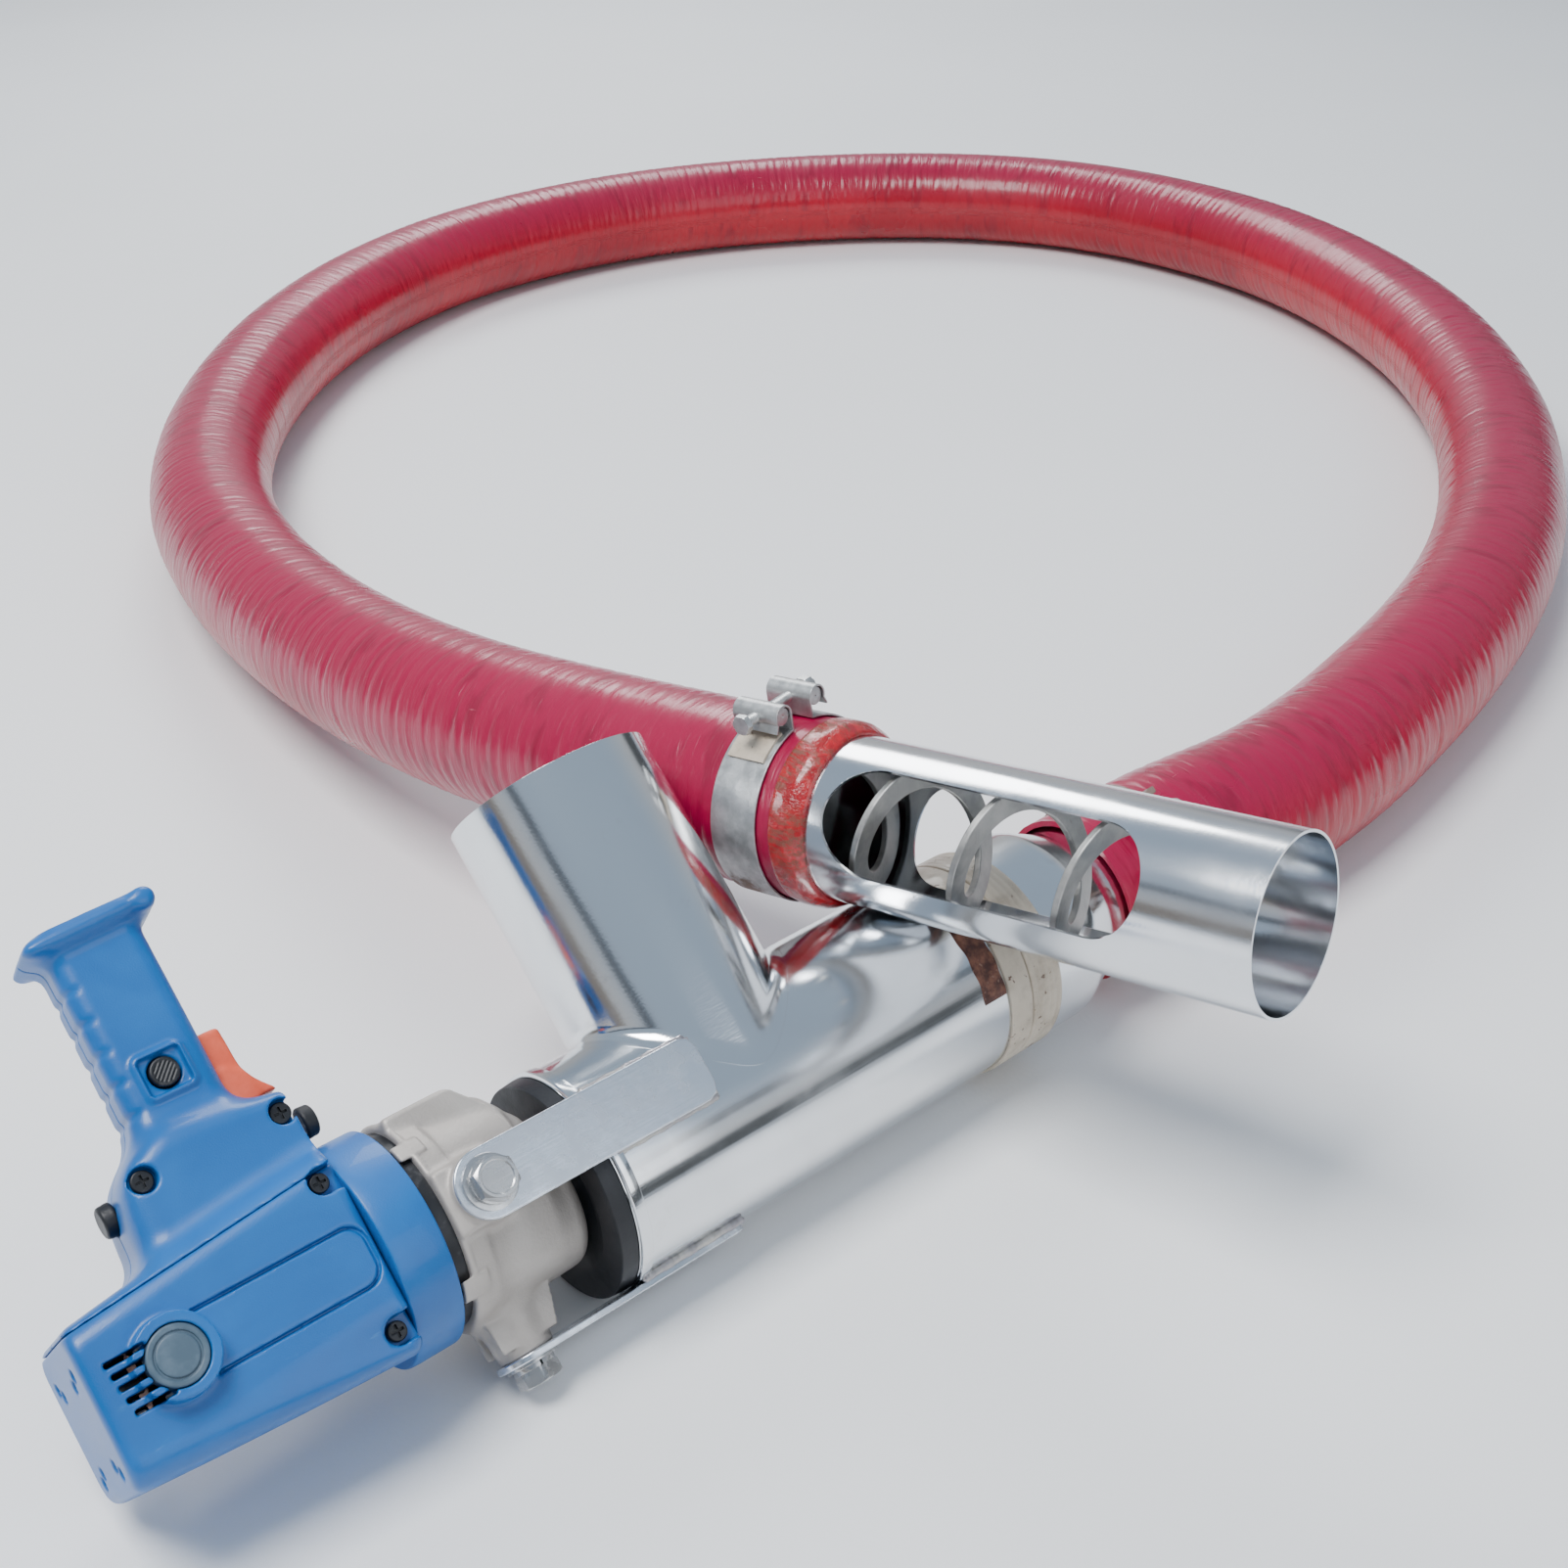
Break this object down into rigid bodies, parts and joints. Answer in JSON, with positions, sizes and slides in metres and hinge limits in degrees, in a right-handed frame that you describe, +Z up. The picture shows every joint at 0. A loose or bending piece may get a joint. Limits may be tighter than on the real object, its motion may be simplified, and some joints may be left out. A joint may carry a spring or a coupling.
{
  "type": "grain auger",
  "caption": "Portable flexible grain auger: a drill turns a shaftless spiral through a discharge head, a hose loop and a slotted intake tube.",
  "frame": {"origin": "on the ground under the middle of the drill and its discharge head, without the hose and the intake tube", "axes": "+X along the discharge head's main tube, away from the drill; +Z up"},
  "size_m": [1.747, 1.5975, 0.2371],
  "materials": {
    "polished_steel": "bright galvanised tube",
    "black_rubber": "matt",
    "brown_gasket": "rough",
    "cream_band": "satin",
    "plated_strap": "satin",
    "weld": "rough",
    "zinc_fasteners": "zinc plated",
    "cast_gearbox": "sand cast",
    "black_plastic": "moulded",
    "machined_steel": "ground",
    "gear_steel": "cut",
    "spiral_steel": "mill",
    "lamination": "stacked",
    "copper": "bare",
    "white_plastic": "moulded",
    "blue_plastic": "moulded, fine grain",
    "dark_screws": "black oxide",
    "brass_holders": "drawn",
    "slate_plastic": "moulded",
    "orange_plastic": "moulded",
    "red_pvc": "ribbed film",
    "clamp_steel": "satin"
  },
  "bodies": {
    "root": {"head_tube": "polished_steel", "outlet_spout": "polished_steel", "drive_end_hoop": "polished_steel", "seal_cap": "black_rubber", "coupling_gasket": "brown_gasket", "coupling_band": "cream_band", "clip_band": "cream_band", "hose_connector": "polished_steel", "upper_strap": "plated_strap", "lower_strap": "plated_strap", "strap_welds": "weld", "strap_bolts": "zinc_fasteners", "spring_washers": "zinc_fasteners", "flat_washers": "zinc_fasteners", "gearbox": "cast_gearbox", "gear_plate": "black_plastic", "bearings": "machined_steel", "motor_housing": "blue_plastic", "front_ring": "blue_plastic", "housing_screws": "dark_screws", "stator": "lamination", "field_coils": "copper", "brush_holders": "brass_holders", "carbon_brushes": "black_plastic", "brush_caps": "slate_plastic", "handle_left": "blue_plastic", "handle_right": "blue_plastic", "handle_screws": "dark_screws", "shoulder_plugs": "black_rubber", "switch_body": "black_plastic", "hose": "red_pvc", "hose_spiral": "spiral_steel", "intake_tube": "polished_steel", "hose_end_wrap": "red_pvc", "clamp_bands": "clamp_steel", "clamp_plates": "zinc_fasteners", "clamp_trunnions": "zinc_fasteners", "clamp_bolts": "zinc_fasteners", "clamp_nuts": "zinc_fasteners"},
    "armature": {"armature_shaft": "machined_steel", "armature_core": "lamination", "commutator": "copper", "cooling_fan": "white_plastic"},
    "intermediate": {"intermediate_shaft": "machined_steel", "intermediate_gear": "gear_steel"},
    "spindle": {"spindle": "machined_steel", "output_gear": "gear_steel", "drive_coupling": "gear_steel", "coupling_screws": "machined_steel", "head_spiral": "spiral_steel"},
    "intake_auger": {"intake_spiral": "spiral_steel"},
    "trigger": {"trigger": "orange_plastic"},
    "lock_button": {"lock_button": "black_plastic"}
  },
  "joints": [
    {"name": "armature_spin", "type": "hinge", "parent": "root", "child": "armature", "pos_m": [-0.25, -0.04137, 0.06997], "axis": [1, 0, 0], "continuous": true},
    {"name": "intermediate_spin", "type": "hinge", "parent": "root", "child": "intermediate", "pos_m": [-0.16, -0.02117, 0.05524], "axis": [1, 0, 0], "continuous": true},
    {"name": "spindle_spin", "type": "hinge", "parent": "root", "child": "spindle", "pos_m": [-0.12, -0.054, 0.0586], "axis": [1, 0, 0], "continuous": true},
    {"name": "intake_auger_spin", "type": "hinge", "parent": "root", "child": "intake_auger", "pos_m": [0.14389, -0.11516, 0.17089], "axis": [0.1887, -0.9708, 0.1478], "continuous": true},
    {"name": "trigger_press", "type": "slide", "parent": "root", "child": "trigger", "axis": [-1, 0, 0], "range_m": [0, 0.004], "stiffness_N_per_m": 1500, "springref_m": -0.002},
    {"name": "lock_press", "type": "slide", "parent": "root", "child": "lock_button", "axis": [0, 0.6691, -0.7431], "range_m": [0, 0.003], "stiffness_N_per_m": 600, "springref_m": -0.002}
  ],
  "couplings": [
    {"joint": "intermediate_spin", "follows": "armature_spin", "ratio": -0.25},
    {"joint": "spindle_spin", "follows": "armature_spin", "ratio": 0.073529},
    {"joint": "intake_auger_spin", "follows": "armature_spin", "ratio": 0.073529}
  ]
}
